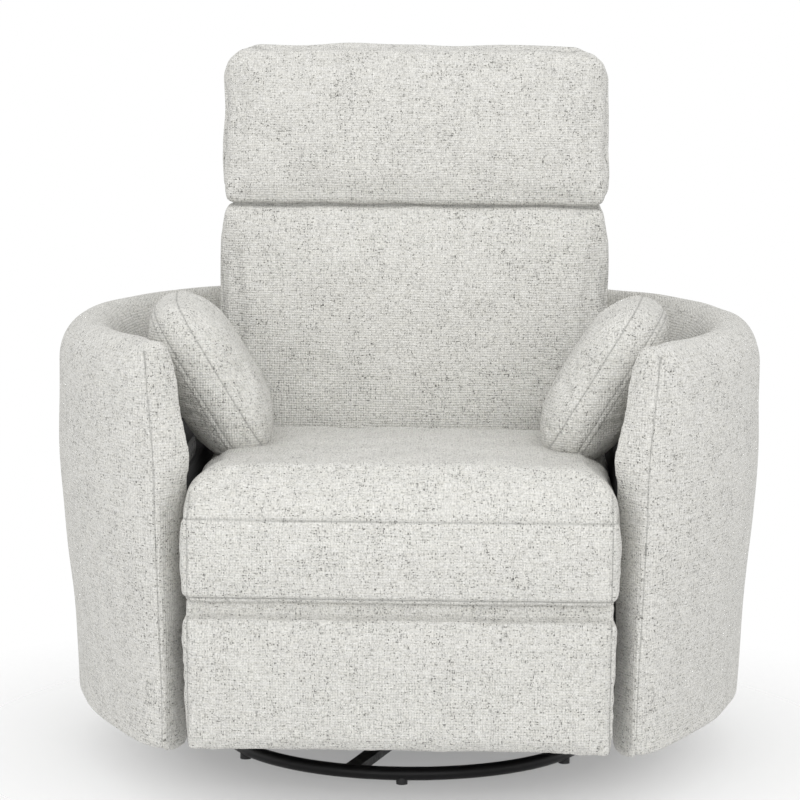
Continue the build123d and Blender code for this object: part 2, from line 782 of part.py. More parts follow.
save(headrest_motor.part, "headrest_motor")

head_outline = [
    (176, 781),
    (156, 790),
    (150, 820),
    (178, 960),
    (196, 998),
    (222, TOP),
    (300, 1004),
    (334, 984),
    (311, 781),
]
with BuildPart() as headrest_cushion:
    add(side_profile(head_outline, -BACK_HALF, BACK_HALF))
    add(head_slots(), mode=Mode.SUBTRACT)
save(headrest_cushion.part, "headrest_cushion")
with BuildPart() as headrest_board:
    add(side_profile([(314, 786), (329, 786), (351, 980), (336, 980)], -262, 262))
save(headrest_board.part, "headrest_board")
with BuildPart() as headrest_outside:
    add(
        side_profile(
            [(332, 781), (386, 781), (392, 840), (386, 960), (366, 992), (354, 992)],
            -BACK_HALF,
            BACK_HALF,
        )
    )
save(headrest_outside.part, "headrest_outside_pad")
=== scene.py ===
import json
from math import cos, pi, radians, sin

import bmesh
import bpy
import numpy as np
from mathutils import Matrix, Vector


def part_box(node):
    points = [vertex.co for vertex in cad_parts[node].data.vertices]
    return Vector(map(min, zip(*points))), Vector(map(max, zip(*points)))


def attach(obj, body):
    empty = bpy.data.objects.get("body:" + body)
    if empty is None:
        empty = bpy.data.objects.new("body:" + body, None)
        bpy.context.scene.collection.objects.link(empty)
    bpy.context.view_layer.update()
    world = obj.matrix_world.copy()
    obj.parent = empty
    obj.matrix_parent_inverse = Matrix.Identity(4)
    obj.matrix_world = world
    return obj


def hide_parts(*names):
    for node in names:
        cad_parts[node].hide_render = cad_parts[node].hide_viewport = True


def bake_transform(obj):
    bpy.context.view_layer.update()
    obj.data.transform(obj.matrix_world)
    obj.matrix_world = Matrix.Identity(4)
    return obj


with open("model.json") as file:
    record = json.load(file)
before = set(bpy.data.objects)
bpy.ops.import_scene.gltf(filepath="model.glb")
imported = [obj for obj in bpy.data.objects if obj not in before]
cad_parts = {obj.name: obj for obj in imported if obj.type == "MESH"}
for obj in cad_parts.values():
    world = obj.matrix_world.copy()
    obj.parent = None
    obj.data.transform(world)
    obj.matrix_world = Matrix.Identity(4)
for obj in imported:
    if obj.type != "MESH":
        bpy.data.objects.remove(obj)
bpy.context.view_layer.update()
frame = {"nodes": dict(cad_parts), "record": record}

# ------------------------------------------------------------------ driving sizes
# Metres, in the frame's own coordinates: the chair faces -Y and stands on Z = 0.
SEAT_HALF = 0.287           # half the width of the seat and the footrest
BACK_HALF = 0.2845          # half the width of the back and the headrest
ARM_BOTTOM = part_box("arm_wing_left")[0][2]
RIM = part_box("arm_wing_left")[1][2]
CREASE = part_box("headrest_shaft")[1][2] - 0.005     # height of the fold under the headrest
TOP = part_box("headrest_cushion")[1][2]
SEAT_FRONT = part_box("seat_cushion")[0][1]
BORDER_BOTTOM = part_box("seat_cushion")[0][2]
PANEL_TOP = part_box("footrest_pad")[1][2]
PANEL_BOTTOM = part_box("footrest_pad")[0][2]
SEAT_SEAM = 0.402           # height of the seam across the front of the seat
FRONT_FACE = -0.42          # what lies in front of this Y belongs to the chair's front

VOXEL = 0.0055              # of the large cushions' skins
FINE_VOXEL = 0.004          # of the thinner pieces' skins
CLOTH_FRAMES = 16
TINY = 1e-9                 # keeps divisions away from zero
SIDES = {1: "right", -1: "left"}
COLLECTION = bpy.context.scene.collection


# =================================================================== mesh helpers
def smooth(edge_low, edge_high, value):
    """0 below edge_low, 1 above edge_high, and an S curve between."""
    t = np.clip((value - edge_low) / (edge_high - edge_low), 0, 1)
    return t * t * (3 - 2 * t)


def new_object(name, points, faces):
    """A shaded-smooth mesh object from points and faces."""
    mesh = bpy.data.meshes.new(name)
    mesh.from_pydata([tuple(p) for p in points], [], [tuple(f) for f in faces])
    mesh.update()
    mesh.shade_smooth()
    obj = bpy.data.objects.new(name, mesh)
    COLLECTION.objects.link(obj)
    return obj


def points_of(obj):
    """The mesh's points as an array."""
    flat = np.empty(len(obj.data.vertices) * 3)
    obj.data.vertices.foreach_get("co", flat)
    return flat.reshape(-1, 3)


def normals_of(obj):
    """The mesh's point normals as an array."""
    obj.data.update()
    flat = np.empty(len(obj.data.vertices) * 3)
    obj.data.vertices.foreach_get("normal", flat)
    return flat.reshape(-1, 3)


def set_points(obj, points):
    """Write the points back into the mesh."""
    obj.data.vertices.foreach_set("co", np.asarray(points, dtype=float).ravel())
    obj.data.update()


def apply_modifiers(obj):
    """Replace the mesh by what its modifiers make of it."""
    graph = bpy.context.evaluated_depsgraph_get()
    mesh = bpy.data.meshes.new_from_object(obj.evaluated_get(graph), depsgraph=graph)
    obj.modifiers.clear()
    obj.data = mesh
    mesh.shade_smooth()


def subdivide(obj):
    """Subdivide smoothly once and keep the result."""
    modifier = obj.modifiers.new("subdivision", "SUBSURF")
    modifier.levels = 1
    modifier.render_levels = 1
    apply_modifiers(obj)


def remesh(obj, voxel=VOXEL):
    """One even closed skin round everything in the mesh."""
    modifier = obj.modifiers.new("remesh", "REMESH")
    modifier.mode = "VOXEL"
    modifier.voxel_size = voxel
    apply_modifiers(obj)


def thicken(obj, thickness):
    """Give an open surface a thickness."""
    modifier = obj.modifiers.new("thickness", "SOLIDIFY")
    modifier.thickness = thickness
    apply_modifiers(obj)


def grid_faces(rows, columns, flip=False):
    """Faces of a grid whose points are listed row by row."""
    faces = []
    for i in range(rows - 1):
        for j in range(columns - 1):
            a = i * columns + j
            ring = (a, a + 1, a + columns + 1, a + columns)
            faces.append(ring if flip else ring[::-1])
    return faces


def from_bmesh(name, mesh):
    """A shaded-smooth mesh object from a bmesh, which is freed."""
    data = bpy.data.meshes.new(name)
    mesh.to_mesh(data)
    mesh.free()
    data.shade_smooth()
    obj = bpy.data.objects.new(name, data)
    COLLECTION.objects.link(obj)
    return obj


def join(name, parts):
    """One mesh object from several, which are removed."""
    mesh = bmesh.new()
    for part in parts:
        mesh.from_mesh(part.data)
        bpy.data.objects.remove(part)
    return from_bmesh(name, mesh)


def unit_box(counts):
    """A bmesh of a cube from -1 to 1, with that many faces along each axis."""
    mesh = bmesh.new()
    for axis in range(3):
        a, b = [i for i in range(3) if i != axis]
        for sign in (-1, 1):
            grid = []
            for i in range(counts[a] + 1):
                row = []
                for j in range(counts[b] + 1):
                    p = np.zeros(3)
                    p[axis] = sign
                    p[a] = 2 * i / counts[a] - 1
                    p[b] = 2 * j / counts[b] - 1
                    row.append(mesh.verts.new(p))
                grid.append(row)
            for i in range(counts[a]):
                for j in range(counts[b]):
                    ring = [grid[i][j], grid[i + 1][j], grid[i + 1][j + 1], grid[i][j + 1]]
                    mesh.faces.new(ring if sign * (-1) ** axis > 0 else ring[::-1])
    bmesh.ops.remove_doubles(mesh, verts=mesh.verts, dist=1e-6)
    bmesh.ops.recalc_face_normals(mesh, faces=mesh.faces)
    return mesh


def soft_block(name, quad, x_low, x_high, radius, front=0.0, top=0.0, step=0.012):
    """A padded block across the chair with rounded edges.

    quad holds its side view's four (Y, Z) corners: front bottom, front top, rear top
    and rear bottom. front and top say how far those faces bulge.
    """
    (fb, ft, rt, rb) = [np.array(p) for p in quad]
    half = np.array([
        (x_high - x_low) / 2,
        (np.linalg.norm(rb - fb) + np.linalg.norm(rt - ft)) / 4,
        (np.linalg.norm(ft - fb) + np.linalg.norm(rt - rb)) / 4,
    ])
    obj = from_bmesh(name, unit_box(np.maximum(4, np.ceil(2 * half / step).astype(int))))
    metric = points_of(obj) * half
    radius = min(radius, *(half * 0.98))
    core = np.clip(metric, -(half - radius), half - radius)
    out = metric - core
    length = np.linalg.norm(out, axis=1, keepdims=True)
    rounded = core + np.where(length > TINY, out / np.maximum(length, TINY) * radius, 0)
    u, v, w = (rounded / half).T

    def bulge(p, q):
        return (1 - p**2) * (1 - q**2)

    x = (x_low + x_high) / 2 + half[0] * u
    s = (v + 1) / 2
    t = (w + 1) / 2
    low = fb + (rb - fb) * s[:, None]
    high = ft + (rt - ft) * s[:, None]
    yz = low + (high - low) * t[:, None]
    yz[:, 0] -= front * bulge(u, w) * (1 - s)
    yz[:, 1] += top * bulge(u, v) * t
    set_points(obj, np.column_stack([x, yz]))
    return obj


def inflate(obj, pressure, cap, grow, pin):
    """Puff the skin up by a cloth simulation.

    pin(points) gives how firmly each point is held, 0 to 1. cap is the farthest that a
    point may move, and grow is how much the cloth is larger than the skin it starts from.
    """
    start = points_of(obj)
    modifier = obj.modifiers.new("cloth", "CLOTH")
    cloth = modifier.settings
    cloth.quality = 5
    cloth.mass = 0.3
    cloth.tension_stiffness = 12.0
    cloth.compression_stiffness = 12.0
    cloth.shear_stiffness = 6.0
    cloth.bending_stiffness = 0.4
    cloth.shrink_min = -grow
    cloth.use_pressure = True
    cloth.uniform_pressure_force = pressure
    cloth.effector_weights.gravity = 0
    modifier.collision_settings.use_collision = False
    modifier.point_cache.frame_end = CLOTH_FRAMES
    group = obj.vertex_groups.new(name="pin")
    for index, weight in enumerate(pin(start)):
        if weight > 0.01:
            group.add([index], float(weight), "REPLACE")
    cloth.vertex_group_mass = "pin"
    for number in range(1, CLOTH_FRAMES + 1):
        bpy.context.scene.frame_set(number)
    apply_modifiers(obj)
    obj.vertex_groups.clear()
    bpy.context.scene.frame_set(1)
    move = points_of(obj) - start
    length = np.linalg.norm(move, axis=1, keepdims=True)
    set_points(obj, start + move * np.minimum(1, cap / np.maximum(length, TINY)))


def attribute(obj, name):
    """The values of a point attribute, made if it isn't there."""
    layer = obj.data.attributes.get(name)
    if layer is None:
        layer = obj.data.attributes.new(name, "FLOAT", "POINT")
    values = np.zeros(len(obj.data.vertices))
    layer.data.foreach_get("value", values)
    return values


def set_attribute(obj, name, values):
    """Write the values of a point attribute, made if it isn't there."""
    attribute(obj, name)
    obj.data.attributes[name].data.foreach_set("value", values)


def sew(obj, distance, depth, width, mark):
    """Pull the skin in along a seam and note where its stitches run, for a line of painted shade there.

    distance is how far each point is from the seam's line; np.inf leaves it alone.
    depth and width are the groove's, and mark is the width of the painted shade line in it.
    """
    points = points_of(obj)
    fall = np.exp(-((distance / width) ** 2))
    set_points(obj, points - normals_of(obj) * (depth * fall)[:, None])
    line = np.exp(-((distance / mark) ** 2))
    set_attribute(obj, "seam", np.maximum(attribute(obj, "seam"), line))


WAVES = 14                  # sine waves that one ripple adds up


def ripple(obj, height, size, seed):
    """Soft irregular waves, as in stretched cloth over foam."""
    points = points_of(obj)
    rng = np.random.default_rng(seed)
    total = np.zeros(len(points))
    for _ in range(WAVES):
        direction = rng.normal(size=3)
        direction /= np.linalg.norm(direction)
        wave = rng.uniform(0.6, 1.8) / size * 2 * pi
        total += np.sin(points @ direction * wave + rng.uniform(0, 2 * pi))
    total *= height / WAVES**0.5
    set_points(obj, points + normals_of(obj) * total[:, None])


# ====================================================================== materials
class Nodes:
    """Short names for building a material's node tree."""

    def __init__(self, name):
        self.material = bpy.data.materials.new(name)
        self.material.use_nodes = True
        self.tree = self.material.node_tree
        self.shader = self.tree.nodes["Principled BSDF"]
        coordinates = self.node("ShaderNodeTexCoord")
        self.place = coordinates.outputs["Object"]
        self.normal = coordinates.outputs["Normal"]

    def shade(self, **inputs):
        """Set or link the shader's inputs, named with _ for each space."""
        for key, value in inputs.items():
            self.put(self.shader.inputs[key.replace("_", " ")], value)

    def node(self, kind, inputs=None, **settings):
        made = self.tree.nodes.new(kind)
        for key, value in settings.items():
            setattr(made, key, value)
        for key, value in (inputs or {}).items():
            self.put(made.inputs[key], value)
        return made

    def put(self, socket, value):
        if isinstance(value, bpy.types.NodeSocket):
            self.tree.links.new(value, socket)
        else:
            socket.default_value = value

    def math(self, operation, a, b=0.0, c=0.0):
        return self.node("ShaderNodeMath", {0: a, 1: b, 2: c}, operation=operation).outputs[0]

    def vector(self, operation, a, b=(0, 0, 0)):
        return self.node("ShaderNodeVectorMath", {0: a, 1: b}, operation=operation).outputs[0]

    def mix(self, factor, a, b):
        """A colour between a and b."""
        made = self.node("ShaderNodeMix", {"Factor": factor}, data_type="RGBA")
        self.put(made.inputs[6], a)
        self.put(made.inputs[7], b)
        return made.outputs[2]

    def blend(self, factor, a, b):
        """A value between a and b."""
        made = self.node("ShaderNodeMix", {"Factor": factor})
        self.put(made.inputs[2], a)
        self.put(made.inputs[3], b)
        return made.outputs[0]

    def ramp(self, value, stops):
        """Grey levels at places along the value, from (place, level) pairs."""
        made = self.node("ShaderNodeValToRGB", {0: value})
        while len(made.color_ramp.elements) < len(stops):
            made.color_ramp.elements.new(0.5)
        for element, (place, level) in zip(made.color_ramp.elements, stops):
            element.position = place
            element.color = (level, level, level, 1)
        return made.outputs[0]

    def spread(self, value, low, high, new_low=0.0, new_high=1.0):
        """The value's range low to high stretched over the new one, and clamped to it."""
        inputs = {"Value": value, "From Min": low, "From Max": high, "To Min": new_low, "To Max": new_high}
        return self.node("ShaderNodeMapRange", inputs).outputs[0]

    def wave(self, value, period):
        """A cosine of the value that repeats after period."""
        return self.math("COSINE", self.math("MULTIPLY", value, 2 * pi / period))

    def noise(self, vector, scale, detail=2.0, roughness=0.5):
        inputs = {"Vector": vector, "Scale": scale, "Detail": detail, "Roughness": roughness}
        return self.node("ShaderNodeTexNoise", inputs).outputs[0]

    def bump(self, height, distance, strength, normal=None):
        inputs = {"Height": height, "Distance": distance, "Strength": strength}
        made = self.node("ShaderNodeBump", inputs)
        if normal is not None:
            self.put(made.inputs["Normal"], normal)
        return made.outputs[0]


YARN = 0.0012               # width of one yarn of the tweed
LONG_YARN = 0.14            # yarns keep their shade over about seven yarns' widths
SWAY = 0.004                # how far the yarns wander from straight
# How much of the weave has which reflectance, from the blackest flecks to the palest yarns.
FLECKS = [
    (0.00, 0.15), (0.05, 0.29), (0.12, 0.42), (0.23, 0.51),
    (0.40, 0.58), (0.62, 0.63), (0.82, 0.68), (1.00, 0.74),
]
WARM = (1.0, 0.985, 0.92, 1)
WHITE = (1.0, 1.0, 1.0, 1)
SEAM_SHADOW = (0.16, 0.16, 0.15, 1)


def tweed(name):
    """Woven tweed: pale yarns with grey and black flecks, laid square to the surface."""
    m = Nodes(name)
    nx, ny, nz = m.node("ShaderNodeSeparateXYZ", {0: m.vector("ABSOLUTE", m.normal)}).outputs
    on_top = m.math("GREATER_THAN", nz, m.math("MAXIMUM", nx, ny))
    on_side = m.math("GREATER_THAN", nx, ny)
    x, y, z = m.node("ShaderNodeSeparateXYZ", {0: m.place}).outputs
    across = m.blend(on_top, m.blend(on_side, x, y), x)
    along = m.blend(on_top, z, y)
    sway = m.noise(m.place, 22.0, 1.0)
    across = m.math("MULTIPLY_ADD", sway, SWAY, across)
    along = m.math("MULTIPLY_ADD", sway, -SWAY, along)
    column = m.math("MULTIPLY", across, 1 / YARN)
    row = m.math("MULTIPLY", along, 1 / YARN)

    def speck(u, v, layer):
        """A random value for each cell of one yarn by one yarn; layer picks the pattern."""
        cell = m.node("ShaderNodeCombineXYZ", {0: u, 1: v, 2: layer + 0.5}).outputs[0]
        return m.node("ShaderNodeTexWhiteNoise", {"Vector": m.vector("FLOOR", cell)}).outputs["Value"]

    # flecks two yarns long, some along the weft and some along the warp
    clear = m.math("SUBTRACT", 1.0, m.math(
        "MINIMUM",
        speck(m.math("MULTIPLY", column, 0.5), row, 3),
        speck(column, m.math("MULTIPLY", row, 0.5), 5),
    ))
    fleck = m.math("SUBTRACT", 1.0, m.math("MULTIPLY", clear, clear))
    weft = speck(m.math("MULTIPLY", column, LONG_YARN), row, 7)
    warp = speck(column, m.math("MULTIPLY", row, LONG_YARN), 11)
    cloud = m.noise(m.place, 24.0, 3.0, 0.6)
    # long yarns that run darker or paler, and soft clouds, shift which flecks show
    shade = m.math("MULTIPLY", m.math("ADD", weft, warp), 0.22)
    shade = m.math("MULTIPLY_ADD", cloud, 0.34, shade)
    grey = m.ramp(m.math("MULTIPLY_ADD", fleck, 0.80, m.math("SUBTRACT", shade, 0.29)), FLECKS)
    # the basket weave: every third yarn lies deeper, both ways. Its colour carries painted shade: the deeper
    # yarns darker, the raised ones paler
    groove = m.math("ADD", m.wave(column, 3), m.wave(row, 3))
    grey = m.math("MULTIPLY", grey, m.math("MULTIPLY_ADD", groove, 0.028, 1.0))
    colour = m.vector("MULTIPLY", m.mix(m.math("MULTIPLY", weft, 0.4), WARM, WHITE), grey)
    # painted shade: seams, and the whole crease strip, darken towards the seam shadow colour
    seam = m.node("ShaderNodeAttribute", attribute_name="seam").outputs["Fac"]
    weave = m.bump(m.math("MULTIPLY_ADD", fleck, 0.8, groove), 0.0006, 0.5)
    m.shade(
        Base_Color=m.mix(m.math("MULTIPLY", seam, 0.6), colour, SEAM_SHADOW),
        Normal=m.bump(cloud, 0.003, 0.3, weave),
        Roughness=0.95, Specular_IOR_Level=0.15, Sheen_Weight=0.12, Sheen_Roughness=0.6,
    )
    return m.material


def darker(colour, share):
    """The colour at a share of its brightness."""
    return (*(c * share for c in colour[:3]), 1)


def painted(name, colour, roughness):
    """Powder-coated steel: fine orange peel, and paler rubbed edges."""
    m = Nodes(name)
    edges = m.spread(m.node("ShaderNodeNewGeometry").outputs["Pointiness"], 0.53, 0.6)
    worn = m.math("MULTIPLY", edges, m.spread(m.noise(m.place, 130.0, 4.0), 0.45, 0.62))
    patch = m.noise(m.place, 30.0, 3.0)
    m.shade(
        Base_Color=m.mix(m.math("MULTIPLY", worn, 0.4), colour, (0.12, 0.12, 0.12, 1)),
        Roughness=m.spread(patch, 0.3, 0.7, roughness - 0.06, roughness + 0.08),
        Normal=m.bump(m.noise(m.place, 1400.0, 2.0), 0.0002, 0.3),
        Specular_IOR_Level=0.3,
    )
    return m.material


def bare_steel(name, colour, roughness):
    """Steel with a brushed grain, zinc-plated or bare."""
    m = Nodes(name)
    lines = m.noise(m.vector("MULTIPLY", m.place, (1, 25, 25)), 60.0, 3.0)
    patch = m.noise(m.place, 40.0, 3.0)
    m.shade(
        Base_Color=m.mix(m.spread(lines, 0.3, 0.7), colour, darker(colour, 0.8)),
        Roughness=m.spread(patch, 0.3, 0.7, roughness - 0.08, roughness + 0.12),
        Normal=m.bump(lines, 0.0001, 0.4),
        Metallic=1.0,
    )
    return m.material


def plywood(name):
    """Birch plywood: long grain with a few darker streaks."""
    m = Nodes(name)
    grain = m.noise(m.vector("MULTIPLY", m.place, (1.5, 40, 40)), 6.0, 5.0, 0.6)
    m.shade(
        Base_Color=m.mix(m.spread(grain, 0.35, 0.7), (0.66, 0.48, 0.30, 1), (0.42, 0.27, 0.15, 1)),
        Normal=m.bump(grain, 0.0005, 0.4),
        Roughness=0.7,
    )
    return m.material


def plastic(name, colour, roughness):
    """Moulded plastic with a fine spark texture."""
    m = Nodes(name)
    spark = m.noise(m.place, 1800.0, 2.0)
    m.shade(
        Base_Color=m.mix(m.spread(spark, 0.3, 0.7), colour, darker(colour, 0.85)),
        Normal=m.bump(spark, 0.0002, 0.3),
        Roughness=roughness,
    )
    return m.material


def decking_painted_shade(name):
    """Black woven lining cloth of the places that aren't meant to be seen; its black is painted shade for
    the shadowed gaps beside the seat.
    """
    m = Nodes(name)
    thread = 0.0016
    x, y, z = m.node("ShaderNodeSeparateXYZ", {0: m.place}).outputs
    weave = m.math("MULTIPLY", m.wave(x, thread), m.wave(m.math("ADD", y, z), thread))
    m.shade(
        Base_Color=m.mix(m.spread(weave, -1.0, 1.0), (0.012, 0.012, 0.013, 1), (0.03, 0.03, 0.031, 1)),
        Normal=m.bump(weave, 0.0003, 0.5),
        Roughness=0.95,
    )
    return m.material


# black lining cloth whose black paints the shade in the gaps beside the seat
DECKING_PAINTED_SHADE = decking_painted_shade("black_decking_painted_shade")
TWEED = tweed("tweed")
MATERIALS = {
    "tweed": TWEED,
    "tweed_pillow": TWEED,
    "black_steel": painted("black_powder_coat", (0.004, 0.004, 0.0045, 1), 0.42),
    "zinc_steel": bare_steel("zinc_steel", (0.55, 0.56, 0.57, 1), 0.35),
    "spring_steel": bare_steel("spring_steel", (0.28, 0.28, 0.29, 1), 0.4),
    "plywood": plywood("plywood"),
    "black_plastic": plastic("black_plastic", (0.02, 0.02, 0.021, 1), 0.5),
    "nylon": plastic("nylon", (0.75, 0.73, 0.68, 1), 0.45),
    "button_plastic": plastic("button_plastic", (0.03, 0.03, 0.031, 1), 0.45),
}
SLOT_OF = {part["node"]: part["material_slot"] for part in frame["record"]["subparts"]}
for node_name, node_object in frame["nodes"].items():
    node_object.data.materials.clear()
    node_object.data.materials.append(MATERIALS[SLOT_OF[node_name]])


def finish_piece(obj, body, slot, *nodes, fill=None):
    """Give a piece the material of its slot and its body, and hide the nodes that it stands for."""
    obj.data.materials.clear()
    obj.data.materials.append(MATERIALS[slot])
    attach(obj, body)
    if nodes:
        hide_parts(*nodes)


# ===================================================================== upholstery
def rolled(obj, axis, sign, edge, top, radius):
    """Turn a block's upper edge into a roll of that radius.

    The edge is at the coordinate edge along the axis, on the side that sign names, and
    top is its height, one number or one for each point.
    """
    p = points_of(obj)
    out = np.clip((sign * (p[:, axis] - edge) + radius) / radius, 0, None)
    up = np.clip((p[:, 2] - top + radius) / radius, 0, None)
    shrink = np.maximum(out, up) / np.maximum(np.hypot(out, up), TINY)
    shrink = np.where((out > 0) & (up > 0), shrink, 1)
    p[:, axis] -= sign * out * (1 - shrink) * radius
    p[:, 2] -= up * (1 - shrink) * radius
    set_points(obj, p)


def boxing_seam(obj, low, high):
    """The seam along a straight line in the side view, from (Y, Z) low to (Y, Z) high."""
    p = points_of(obj)
    along = (p[:, 2] - low[1]) / (high[1] - low[1])
    sew(obj, np.abs(p[:, 1] - low[0] - (high[0] - low[0]) * along), 0.0015, 0.003, 0.0011)


def hump(value, middle, width):
    """1 in the middle, falling off smoothly to both sides."""
    return np.exp(-(((value - middle) / width) ** 2))


def seat():
    """Seat cushion with a rounded front and the border under it."""
    face, rear, under = SEAT_FRONT + 0.008, 0.084, 0.345
    front_edge, roll = 0.458, 0.062
    top = soft_block(
        "seat_top",
        [(face, under), (SEAT_FRONT + 0.014, front_edge), (rear, 0.446), (rear, under)],
        -SEAT_HALF, SEAT_HALF, 0.030, front=0.004, top=0.012,
    )
    rolled(top, 1, -1, face, front_edge, roll)
    border_half, border_rear, border_top = SEAT_HALF + 0.0015, -0.345, 0.41
    border = soft_block(
        "seat_border",
        [(face, BORDER_BOTTOM), (face, border_top), (border_rear, border_top), (border_rear, BORDER_BOTTOM)],
        -border_half, border_half, 0.010, front=0.004,
    )
    obj = join("seat_upholstery", [top, border])
    remesh(obj)

    def pin(p):
        inside = smooth(0.37, 0.35, p[:, 2]) * (p[:, 1] > -0.41)
        seam = hump(p[:, 2], SEAT_SEAM, 0.006) * smooth(-0.40, -0.43, p[:, 1])
        edge = hump(p[:, 2], BORDER_BOTTOM + 0.004, 0.006)
        return np.clip(inside + 0.9 * seam + edge, 0, 1)

    inflate(obj, 4.0, 0.007, 0.006, pin)
    ripple(obj, 0.0010, 0.10, 3)
    gather(obj)
    subdivide(obj)
    for height, depth, width, mark in (
        (SEAT_SEAM, 0.0028, 0.0045, 0.0011),
        (BORDER_BOTTOM + 0.006, 0.003, 0.0035, 0.0014),
    ):
        p = points_of(obj)
        elsewhere = np.where(p[:, 1] < FRONT_FACE, 0, np.inf)
        sew(obj, np.abs(p[:, 2] - height) + elsewhere, depth, width, mark)
    edge_seams(obj, 0.445)
    finish_piece(obj, "carriage", "tweed", "seat_cushion", fill=0.8)


def gather(obj):
    """Small puckers along the edge seams at both sides of a front."""
    height, size, width = 0.0007, 0.034, 0.010
    points = points_of(obj)
    near = hump(np.abs(points[:, 0]), SEAT_HALF - 0.004, width) * (points[:, 1] < -0.40)
    side = np.sign(points[:, 0])
    phase = points[:, 2] * 2 * pi / size + 2.6 * np.sin(points[:, 2] * 37 + side) + side
    set_points(obj, points + normals_of(obj) * (height * near * np.sin(phase))[:, None])


def edge_seams(obj, top):
    """The thin upright seams just inside both edges of a front, up to the height top."""
    p = points_of(obj)
    elsewhere = np.where((p[:, 1] < FRONT_FACE) & (p[:, 2] < top), 0, np.inf)
    sew(obj, np.abs(np.abs(p[:, 0]) - SEAT_HALF + 0.007) + elsewhere, 0.0008, 0.003, 0.0008)


def footrest():
    """Footrest panel: a thin padded board with a recessed lip along its top."""
    face, rear = SEAT_FRONT + 0.010, -0.417
    panel = soft_block(
        "footrest_face",
        [(face, PANEL_BOTTOM), (face, PANEL_TOP), (rear, PANEL_TOP), (rear, PANEL_BOTTOM)],
        -SEAT_HALF, SEAT_HALF, 0.009, front=0.006,
    )
    lip_face, lip_rear, lip_bottom, lip_top = SEAT_FRONT + 0.027, -0.420, 0.240, BORDER_BOTTOM + 0.006
    lip_half = SEAT_HALF - 0.004
    lip = soft_block(
        "footrest_lip",
        [(lip_face, lip_bottom), (lip_face, lip_top), (lip_rear, lip_top), (lip_rear, lip_bottom)],
        -lip_half, lip_half, 0.004,
    )
    obj = join("footrest_upholstery", [panel, lip])
    remesh(obj, FINE_VOXEL)

    def pin(p):
        held = hump(p[:, 2], PANEL_TOP + 0.002, 0.006) + smooth(PANEL_TOP, PANEL_TOP + 0.01, p[:, 2])
        return np.clip(smooth(-0.436, -0.428, p[:, 1]) + held, 0, 1)

    inflate(obj, 3.0, 0.005, 0.006, pin)
    ripple(obj, 0.0008, 0.10, 8)
    gather(obj)
    p = points_of(obj)
    taper = 0.014           # the panel is that share narrower at its bottom
    p[:, 0] *= 1 - taper * smooth(PANEL_TOP, PANEL_BOTTOM, p[:, 2])
    set_points(obj, p)
    subdivide(obj)
    edge_seams(obj, PANEL_TOP)
    finish_piece(obj, "footrest", "tweed", "footrest_pad", fill=0.7)


def back():
    """Lower back: front cushion, sides and outside back in one cover."""
    low, high = 0.352, CREASE - 0.001
    cushion = soft_block(
        "back_front",
        [(0.100, low), (0.154, high), (0.330, high), (0.300, low)],
        -BACK_HALF, BACK_HALF, 0.012, front=0.014,
    )
    rear_low, rear_high, rear_half = 0.346, CREASE - 0.004, BACK_HALF - 0.004
    outside = soft_block(
        "back_rear",
        [(0.240, rear_low), (0.270, rear_high), (0.400, rear_high), (0.388, rear_low)],
        -rear_half, rear_half, 0.022,
    )
    obj = join("back_upholstery", [cushion, outside])
    p = points_of(obj)
    rise = np.sin(pi * np.clip((p[:, 2] - rear_low) / (CREASE - rear_low), 0, 1)) ** 0.8
    p[:, 1] += 0.036 * smooth(0.33, 0.40, p[:, 1]) * rise
    set_points(obj, p)
    remesh(obj)

    def pin(p):
        return np.maximum(smooth(0.365, 0.350, p[:, 2]), smooth(CREASE - 0.022, CREASE - 0.012, p[:, 2]))

    inflate(obj, 3.0, 0.006, 0.004, pin)
    ripple(obj, 0.0012, 0.14, 11)
    subdivide(obj)
    boxing_seam(obj, (0.132, low), (0.180, CREASE))
    boxing_seam(obj, (0.376, low), (0.380, CREASE))
    finish_piece(obj, "back", "tweed", "back_cushion", "back_outside_pad", fill=0.8)


def headrest():
    """Headrest cushion in one cover."""
    low, front_top, rear_top = CREASE + 0.001, (0.190, TOP - 0.003), (0.384, TOP - 0.018)
    obj = soft_block(
        "headrest_upholstery",
        [(0.154, low), front_top, rear_top, (0.388, low)],
        -BACK_HALF, BACK_HALF, 0.012, front=0.014, top=0.003,
    )
    for side in SIDES:
        height = np.interp(points_of(obj)[:, 1], *zip(front_top, rear_top))
        rolled(obj, 0, side, side * BACK_HALF, height, 0.026)
    remesh(obj)

    def pin(p):
        return smooth(CREASE + 0.022, CREASE + 0.012, p[:, 2])

    inflate(obj, 3.0, 0.005, 0.004, pin)
    ripple(obj, 0.0012, 0.14, 12)
    subdivide(obj)
    boxing_seam(obj, (0.180, CREASE), (0.216, TOP))
    boxing_seam(obj, (0.360, CREASE), (0.354, TOP))
    finish_piece(obj, "headrest", "tweed", "headrest_cushion", "headrest_outside_pad", fill=0.8)


def rear_flap():
    """The flap of cover that hangs from the back's lower edge to the rear panel."""
    half, length = 0.280, 0.225
    (low_y, low_z), (high_y, high_z) = (0.448, 0.250), (0.404, 0.470)
    rows, columns = 31, 71
    points = []
    for i in range(rows):
        t = i / (rows - 1)
        for j in range(columns):
            x = half * (2 * j / (columns - 1) - 1)
            sag = 0.004 * sin(pi * t) + 0.0012 * sin(pi * t) * sin(23 * x + 3 * sin(9 * x))
            points.append((x, low_y + (high_y - low_y) * t + sag, low_z + (high_z - low_z) * t))
    flap = new_object("rear_flap", points, grid_faces(rows, columns))
    thicken(flap, 0.003)
    flap.data.materials.append(TWEED)
    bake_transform(flap)


